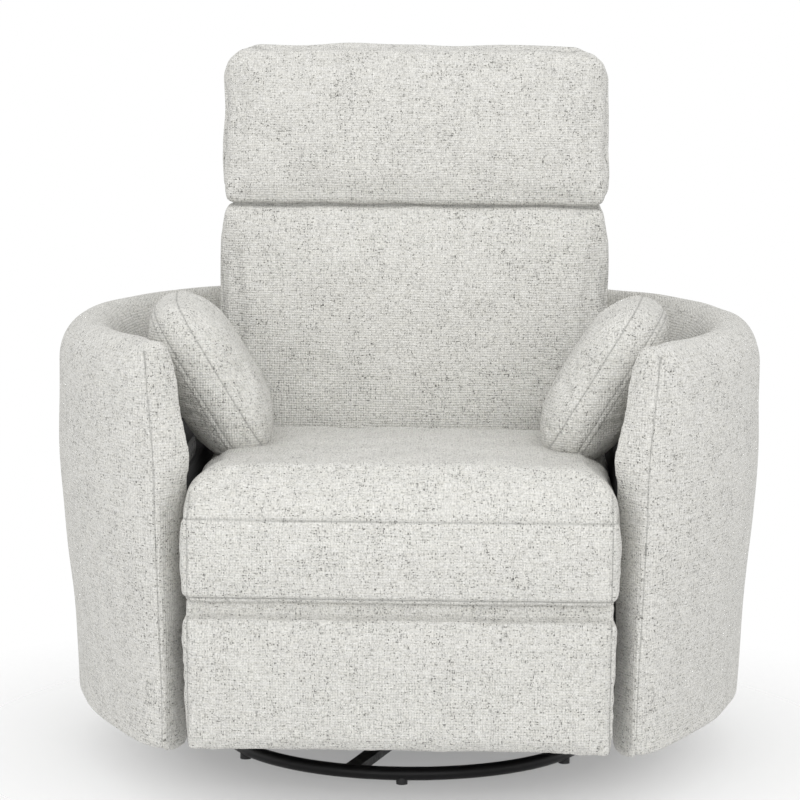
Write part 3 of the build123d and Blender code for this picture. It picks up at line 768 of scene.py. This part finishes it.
def crease_fold():
    """The strip of cover that closes the fold between back and headrest, with painted shade all over it."""
    pivot_y, radius = 0.185, 0.017
    turns = np.linspace(radians(-75), radians(75), 15)
    across = np.linspace(-0.272, 0.272, 60)
    points = [(x, pivot_y - radius * cos(a), CREASE + radius * sin(a)) for x in across for a in turns]
    fold = new_object("crease_fold", points, grid_faces(len(across), len(turns)))
    thicken(fold, 0.002)
    # painted shade: the whole strip takes the seam shadow colour
    set_attribute(fold, "seam", np.ones(len(fold.data.vertices)))
    finish_piece(fold, "back", "tweed")


PILLOW_HALF = (0.056, 0.148, 0.126)     # half its thickness, length and height
PILLOW_CENTRE = (0.279, -0.117, 0.550)
PILLOW_LEAN = radians(31)
PILLOW_TURN = radians(5)
BOXING = 0.018              # half the width of the pillow's edge strip


def puff(name, half, thick_power, edge_power):
    """A puffy cushion: thickest in the middle (X), with a rounded rectangle for its outline."""
    mesh = bmesh.new()
    bmesh.ops.create_cube(mesh, size=2)
    bmesh.ops.subdivide_edges(mesh, edges=mesh.edges, cuts=44, use_grid_fill=True)
    obj = from_bmesh(name, mesh)
    p = np.tan(points_of(obj) * pi / 4)
    flat = (np.abs(p[:, 1]) ** edge_power + np.abs(p[:, 2]) ** edge_power) ** (thick_power / edge_power)
    size = (np.abs(p[:, 0]) ** thick_power + flat) ** (1 / thick_power)
    set_points(obj, p / size[:, None] * np.array(half))
    return obj


def at_pillow_rim(p):
    """Which points lie near the pillow's outline."""
    return (np.abs(p[:, 1]) / PILLOW_HALF[1]) ** 4 + (np.abs(p[:, 2]) / PILLOW_HALF[2]) ** 4 > 0.5


def arm_pillow(side):
    """Boxed bolster, leaning outward at the top; side is 1 or -1."""
    name = SIDES[side]
    obj = puff(f"pillow_{name}", PILLOW_HALF, 2.7, 3.6)
    remesh(obj, FINE_VOXEL)

    def pin(p):
        return 0.95 * hump(np.abs(p[:, 0]), BOXING, 0.004) * at_pillow_rim(p)

    inflate(obj, 4.0, 0.006, 0.02, pin)
    subdivide(obj)
    p = points_of(obj)
    elsewhere = np.where(at_pillow_rim(p), 0, np.inf)
    sew(obj, np.abs(np.abs(p[:, 0]) - BOXING) + elsewhere, 0.0010, 0.003, 0.0009)
    # the outer side has a second row of stitches
    sew(obj, np.abs(p[:, 0] - side * (BOXING + 0.007)) + elsewhere, 0.0004, 0.002, 0.0007)
    turn = Matrix.Rotation(-side * PILLOW_TURN, 4, "Z") @ Matrix.Rotation(side * PILLOW_LEAN, 4, "Y")
    place = Matrix.Translation(Vector((side * PILLOW_CENTRE[0], *PILLOW_CENTRE[1:])))
    obj.data.transform(place @ turn)
    finish_piece(obj, f"pillow_{name}", "tweed_pillow", f"arm_pillow_{name}", fill=0.9)


# Half plans of an arm's outside, from the front seam round to the tip behind the back.
OUTER_LOW = [
    (0.316, -0.425), (0.350, -0.386), (0.388, -0.317), (0.424, -0.242), (0.456, -0.148),
    (0.480, -0.020), (0.478, 0.100), (0.456, 0.196), (0.416, 0.284), (0.364, 0.352), (0.304, 0.412),
]
OUTER_HIGH = [
    (0.327, -0.427), (0.370, -0.390), (0.420, -0.324), (0.464, -0.232), (0.491, -0.128),
    (0.502, 0.000), (0.496, 0.110), (0.474, 0.206), (0.434, 0.296), (0.378, 0.370), (0.304, 0.440),
]
# Inner edge of the arm's front band, as (height, X, Y).
BAND_EDGE = np.array([
    (0.070, 0.289, -0.360), (0.400, 0.289, -0.362), (0.445, 0.287, -0.386), (0.472, 0.281, -0.392),
    (0.500, 0.287, -0.390), (0.540, 0.297, -0.384), (0.630, 0.305, -0.376),
])
WALL_FRONT = 0.082          # the wall's thickness, on its way round
WALL_SIDE = 0.088
WALL_REAR = 0.062
RIM_OUTSIDE = 0.055         # height of the rim's rounding on the outside
RIM_INSIDE = 0.070          # and on the inside
FOOT = 0.009                # rounding of the lower edge
TIP_INSIDE = 0.289          # half the room that the wall's rear leaves for the back
ARM_ROWS = 150              # points round the wall
SEAM_FLARE = 0.012          # how far the front seam turns outward towards the rim
SEAM_PLANE = (0.18, 1.0)    # direction in plan, from the front seam into the arm


def curve_through(points, count):
    """Points evenly spaced along a smooth curve through the given ones."""
    p = np.array(points)
    before = np.vstack([2 * p[0] - p[1], p[:-1]])
    after = np.vstack([p[1:], 2 * p[-1] - p[-2]])
    slope = (after - before) / 2
    fine = []
    for i in range(len(p) - 1):
        t = np.linspace(0, 1, 30, endpoint=False)[:, None]
        fine.append(
            (2 * t**3 - 3 * t**2 + 1) * p[i] + (t**3 - 2 * t**2 + t) * slope[i]
            + (-2 * t**3 + 3 * t**2) * p[i + 1] + (t**3 - t**2) * slope[i + 1]
        )
    fine = np.vstack(fine + [p[-1:]])
    run = np.concatenate([[0], np.cumsum(np.linalg.norm(np.diff(fine, axis=0), axis=1))])
    at = np.linspace(0, run[-1], count)
    return np.column_stack([np.interp(at, run, fine[:, k]) for k in range(2)]), at


def wall_section():
    """The wall's section as (side, height): side is 1 outside, -1 inside and 0 in the middle."""
    section = [(1.0, z) for z in np.arange(ARM_BOTTOM + FOOT, RIM - RIM_OUTSIDE, 0.010)]
    section += [(cos(a), RIM - RIM_OUTSIDE * (1 - sin(a))) for a in np.linspace(0, pi / 2, 11)]
    section += [(cos(a), RIM - RIM_INSIDE * (1 - sin(a))) for a in np.linspace(pi / 2, pi, 10)[1:]]
    section += [(-1.0, z) for z in np.arange(RIM - RIM_INSIDE, ARM_BOTTOM + FOOT, -0.014)[1:]]
    section += [(cos(a), ARM_BOTTOM + FOOT * (1 + sin(a))) for a in np.linspace(pi, 2 * pi, 11)]
    return section


def outline(z):
    """The wall's outer and inner plan curves at a height, as two arrays."""
    outer = ARM_LOW + (ARM_HIGH - ARM_LOW) * smooth(ARM_BOTTOM, 0.50, z)
    outer[:, 0] += SEAM_FLARE * smooth(0.44, 0.64, z) * (1 - smooth(0.0, 0.12, ARM_RUN))
    step = np.gradient(outer, axis=0)
    step /= np.linalg.norm(step, axis=1, keepdims=True)
    inward = np.column_stack([-step[:, 1], step[:, 0]])
    left = ARM_RUN[-1] - ARM_RUN
    thick = WALL_SIDE + (WALL_FRONT - WALL_SIDE) * (1 - smooth(0.0, 0.14, ARM_RUN))
    thick += (WALL_REAR - WALL_SIDE) * (1 - smooth(0.05, 0.30, left))
    thick += 0.026 * smooth(RIM, 0.42, z) * smooth(0.02, 0.20, ARM_RUN) * smooth(0.0, 0.12, left)
    plain = outer + inward * thick[:, None]
    edge = np.array([np.interp(z, BAND_EDGE[:, 0], BAND_EDGE[:, k]) for k in (1, 2)])
    nose = edge + (outer - outer[0]) * 0.9
    return outer, plain + (nose - plain) * (1 - smooth(0.0, 0.09, ARM_RUN))[:, None]


def end_rows(outer, inner, away, bulge, power):
    """Pairs of points that close the wall's end with rounded corners, from the wall outward."""
    face = outer - inner
    face = face / np.linalg.norm(face)
    out = np.array([face[1], -face[0]]) * away
    middle, half = (outer + inner) / 2, (outer - inner) / 2
    pairs = []
    for a in np.linspace(0, pi / 2, 9)[1:]:
        shrink = max(max(cos(a), 0.0) ** (2 / power), 0.03)
        centre = middle + out * bulge * sin(a) ** (2 / power)
        pairs.append((centre + half * shrink, centre - half * shrink))
    return pairs


ARM_LOW, ARM_RUN = curve_through(OUTER_LOW, ARM_ROWS)
ARM_HIGH, _ = curve_through(OUTER_HIGH, ARM_ROWS)


def arm_wing(side):
    """One wrap-around arm as a closed mesh."""
    section = wall_section()
    columns = []
    for across, z in section:
        outer, inner = outline(z)
        front = end_rows(outer[0], inner[0], 1, 0.006, 2.0)[::-1]
        rear = end_rows(outer[-1], inner[-1], -1, 0.022, 2.4)
        pairs = front + list(zip(outer, inner)) + rear
        swell = 1 + 0.05 * sin(pi * (z - ARM_BOTTOM) / (RIM - ARM_BOTTOM))
        columns.append([
            (side * max(p[0], TIP_INSIDE if p[1] > 0 else 0), p[1], z)
            for p in ((o + i) / 2 + (o - i) / 2 * across * swell for o, i in pairs)
        ])
    rows, n = len(columns[0]), len(section)
    points = [columns[j][i] for i in range(rows) for j in range(n)]
    faces = []
    for i in range(rows - 1):
        for j in range(n):
            a, b = i * n + j, i * n + (j + 1) % n
            ring = (a, b, b + n, a + n)
            faces.append(ring if side > 0 else ring[::-1])
    first = list(range(n))
    last = [(rows - 1) * n + j for j in range(n)]
    faces += [first[::-1], last] if side > 0 else [first, last[::-1]]
    return new_object("arm", points, faces)


def off_front_seam(points, side):
    """How far each point is from the upright plane that cuts the arm at its front seam."""
    heights = np.linspace(ARM_BOTTOM, RIM, 40)
    starts = np.array([outline(z)[0][0] for z in heights])
    gap_x = side * points[:, 0] - np.interp(points[:, 2], heights, starts[:, 0])
    gap_y = points[:, 1] - np.interp(points[:, 2], heights, starts[:, 1])
    into = np.array(SEAM_PLANE) / np.hypot(*SEAM_PLANE)
    near = (np.hypot(gap_x, gap_y) < 0.03) & (points[:, 2] < RIM - 0.012)
    return np.where(near, np.abs(into[0] * gap_y - into[1] * gap_x), np.inf)


def arm_upholstery(side):
    """The arm's cover with its front seam."""
    name = SIDES[side]
    obj = arm_wing(side)
    obj.name = f"arm_{name}"
    remesh(obj, FINE_VOXEL)
    ripple(obj, 0.0007, 0.22, 5 + side)
    subdivide(obj)
    sew(obj, off_front_seam(points_of(obj), side), 0.0022, 0.004, 0.0012)
    finish_piece(obj, "carriage", "tweed", f"arm_wing_{name}", fill=0.5)


def arm_inside(side):
    """The box side next to the seat and the ledge behind it, both lined with black lining cloth whose black
    is painted shade for the gap beside the seat.
    """
    name = SIDES[side]
    front, rear, low, high = -0.372, 0.380, 0.100, 0.444
    panel = soft_block(
        f"arm_inner_{name}",
        [(front, low), (front, high), (rear, high), (rear, low)],
        *sorted((side * 0.289, side * 0.303)), 0.007, step=0.02,
    )
    finish_piece(panel, "carriage", "black_plastic", f"arm_inner_panel_{name}")
    # painted shade: black lining cloth in place of the shadow beside the seat
    panel.data.materials[0] = DECKING_PAINTED_SHADE
    inner = outline(0.44)[1]
    reach = 0.335           # the ledge ends there at the front and the rear
    inner = inner[(inner[:, 1] > -reach) & (inner[:, 1] < reach)]
    start, height, crown, tuck = 0.292, 0.438, 0.010, 0.012
    across = np.linspace(0, 1, 9)
    points = [
        (side * (start + (x + tuck - start) * t), y, height + crown * sin(pi * t))
        for x, y in inner for t in across
    ]
    ledge = new_object(f"arm_ledge_{name}", points, grid_faces(len(inner), len(across), side > 0))
    thicken(ledge, 0.02)
    finish_piece(ledge, "carriage", "black_plastic", f"arm_deck_{name}")
    # painted shade: black lining cloth in place of the shadow beside the seat
    ledge.data.materials[0] = DECKING_PAINTED_SHADE


def rear_cover():
    """The padded panel between the arms' tips, with returns that reach forward to them."""
    parts = [soft_block(
        "rear_cover",
        [(0.452, 0.088), (0.452, 0.262), (0.468, 0.272), (0.468, 0.088)],
        -0.298, 0.298, 0.007,
    )]
    for side in SIDES:
        parts.append(soft_block(
            "rear_return",
            [(0.404, 0.089), (0.414, 0.235), (0.467, 0.266), (0.467, 0.089)],
            *sorted((side * 0.270, side * 0.297)), 0.007,
        ))
    obj = join("rear_cover", parts)
    remesh(obj, FINE_VOXEL)
    ripple(obj, 0.0007, 0.12, 21)
    finish_piece(obj, "carriage", "tweed", "rear_panel")


seat()
footrest()
back()
headrest()
for side in SIDES:
    arm_pillow(side)
    arm_upholstery(side)
    arm_inside(side)
rear_cover()
rear_flap()
crease_fold()


# =============================================================== floor, light, camera
# name, place, size and power of each soft lamp; all of them face the chair's middle
LAMPS = (
    ("key", (1.0, -4.0, 1.7), 1.6, 30),
    ("fill", (-1.5, -3.6, 1.2), 2.0, 14),
    ("top", (0.0, -0.8, 3.2), 1.8, 8),
)
MIDDLE = (0, 0, 0.5)


def aimed(name, data, place, target):
    """A lamp at a place that points at a target."""
    lamp = bpy.data.objects.new(name, data)
    lamp.location = place
    lamp.rotation_euler = (Vector(target) - Vector(place)).to_track_quat("-Z", "Y").to_euler()
    COLLECTION.objects.link(lamp)


def studio():
    """A plain pale floor, soft light from the front and above, and a pale surround."""
    bpy.ops.mesh.primitive_grid_add(x_subdivisions=40, y_subdivisions=40, size=12)
    floor = bpy.context.active_object
    floor.name = "floor"
    m = Nodes("floor")
    reach = m.node("ShaderNodeVectorMath", {0: m.place}, operation="LENGTH").outputs["Value"]
    # the floor fades out into the surround
    m.shade(Base_Color=(0.8, 0.8, 0.8, 1), Roughness=0.9, Alpha=m.spread(reach, 0.30, 0.90, 0.70, 0.0))
    floor.data.materials.append(m.material)
    world = bpy.data.worlds.new("surround")
    world.use_nodes = True
    background = world.node_tree.nodes["Background"]
    background.inputs["Color"].default_value = WHITE
    background.inputs["Strength"].default_value = 1.0
    bpy.context.scene.world = world
    for name, place, size, power in LAMPS:
        light = bpy.data.lights.new(name, "AREA")
        light.size = size
        light.energy = power
        aimed(name, light, place, MIDDLE)


def back_light():
    """A soft pool of light on the lower back, which the arms and pillows shade."""
    light = bpy.data.lights.new("back_light", "SPOT")
    light.energy = 220
    light.spot_size = radians(9)
    light.spot_blend = 1.0
    light.shadow_soft_size = 0.4
    aimed("back_light", light, (0.1, -4.0, 1.6), (0, 0.13, 0.62))


def camera():
    """In front of the chair, a little above it, with a long lens."""
    distance, height, aim = 4.45, 1.085, 0.503
    swing, roll = radians(1.55), radians(0.45)
    data = bpy.data.cameras.new("camera")
    data.sensor_width = 36
    data.lens = 139.1
    data.shift_x = -0.0125
    eye = bpy.data.objects.new("camera", data)
    eye.location = (distance * sin(swing), -distance * cos(swing), height)
    look = (Vector((0, 0, aim)) - eye.location).to_track_quat("-Z", "Y")
    eye.rotation_euler = (look.to_matrix() @ Matrix.Rotation(roll, 3, "Z")).to_euler()
    COLLECTION.objects.link(eye)
    bpy.context.scene.camera = eye


studio()
back_light()
camera()
bpy.context.scene.view_settings.view_transform = "Standard"
